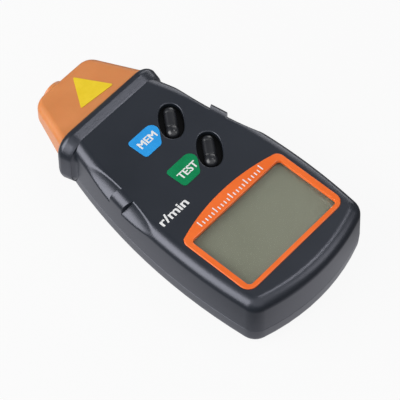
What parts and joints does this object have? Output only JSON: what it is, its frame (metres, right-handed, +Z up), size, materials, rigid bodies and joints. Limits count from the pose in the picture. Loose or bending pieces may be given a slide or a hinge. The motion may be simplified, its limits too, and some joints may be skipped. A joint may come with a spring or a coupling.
{
  "type": "laser tachometer",
  "caption": "Hand-held laser tachometer with an amber optics nose, collar, orange-framed display, two sprung push buttons, bridged grip hollows and a sliding battery door.",
  "frame": {"origin": "middle of the footprint, on the surface the back of the case lies on", "axes": "+Y along the case toward the optics nose, +X to the right of the reader, +Z up out of the display face"},
  "size_m": [0.07, 0.1412, 0.029],
  "materials": {
    "case_plastic": "satin blue-black moulding with a very fine grain",
    "amber_plastic": "slightly translucent amber moulding",
    "orange_plastic": "smooth opaque orange moulding",
    "window_clear": "clear polished window",
    "lcd_glass": "grey-green display glass with a satin front",
    "inner_plastic": "plain black inner moulding",
    "button_plastic": "polished black",
    "blue_film": "printed blue film",
    "green_film": "printed green film",
    "yellow_film": "printed yellow film",
    "contact_rubber": "layered soft contact strip",
    "board_laminate": "green board laminate",
    "cell_jacket": "thin metal jacket of the block cell",
    "wire_sleeve": "coloured wire insulation",
    "lens_glass": "polished lens",
    "sensor_epoxy": "tinted clear sensor body",
    "barrel_brass": "turned brass",
    "screw_steel": "plated steel"
  },
  "bodies": {
    "case": {"top_shell": "case_plastic", "bottom_shell": "case_plastic", "nose_cap": "amber_plastic", "nose_sticker": "yellow_film", "display_bezel": "orange_plastic", "display_window": "window_clear", "lcd_panel": "lcd_glass", "lcd_holder": "inner_plastic", "zebra_strips": "contact_rubber", "mem_switch": "screw_steel", "test_switch": "screw_steel", "mem_label": "blue_film", "test_label": "green_film", "circuit_board": "board_laminate", "controller_chip": "inner_plastic", "crystal_can": "screw_steel", "block_battery": "cell_jacket", "battery_snap": "inner_plastic", "battery_leads": "wire_sleeve", "optics_holder": "inner_plastic", "receiver_lens": "lens_glass", "photo_sensor": "sensor_epoxy", "sensor_board": "board_laminate", "sensor_leads": "wire_sleeve", "laser_barrel": "barrel_brass", "laser_lens": "lens_glass", "case_screws": "screw_steel", "board_screws": "screw_steel"},
    "mem_key": {"mem_button": "button_plastic", "mem_plunger": "inner_plastic"},
    "test_key": {"test_button": "button_plastic", "test_plunger": "inner_plastic"},
    "battery_cover": {"battery_door": "case_plastic"}
  },
  "joints": [
    {"name": "mem_press", "type": "slide", "parent": "case", "child": "mem_key", "axis": [0, 0, -1], "range_m": [0, 0.0006], "stiffness_N_per_m": 2500},
    {"name": "test_press", "type": "slide", "parent": "case", "child": "test_key", "axis": [0, 0, -1], "range_m": [0, 0.0006], "stiffness_N_per_m": 2500},
    {"name": "door_slide", "type": "slide", "parent": "case", "child": "battery_cover", "axis": [0, -1, 0], "range_m": [0, 0.058]}
  ]
}
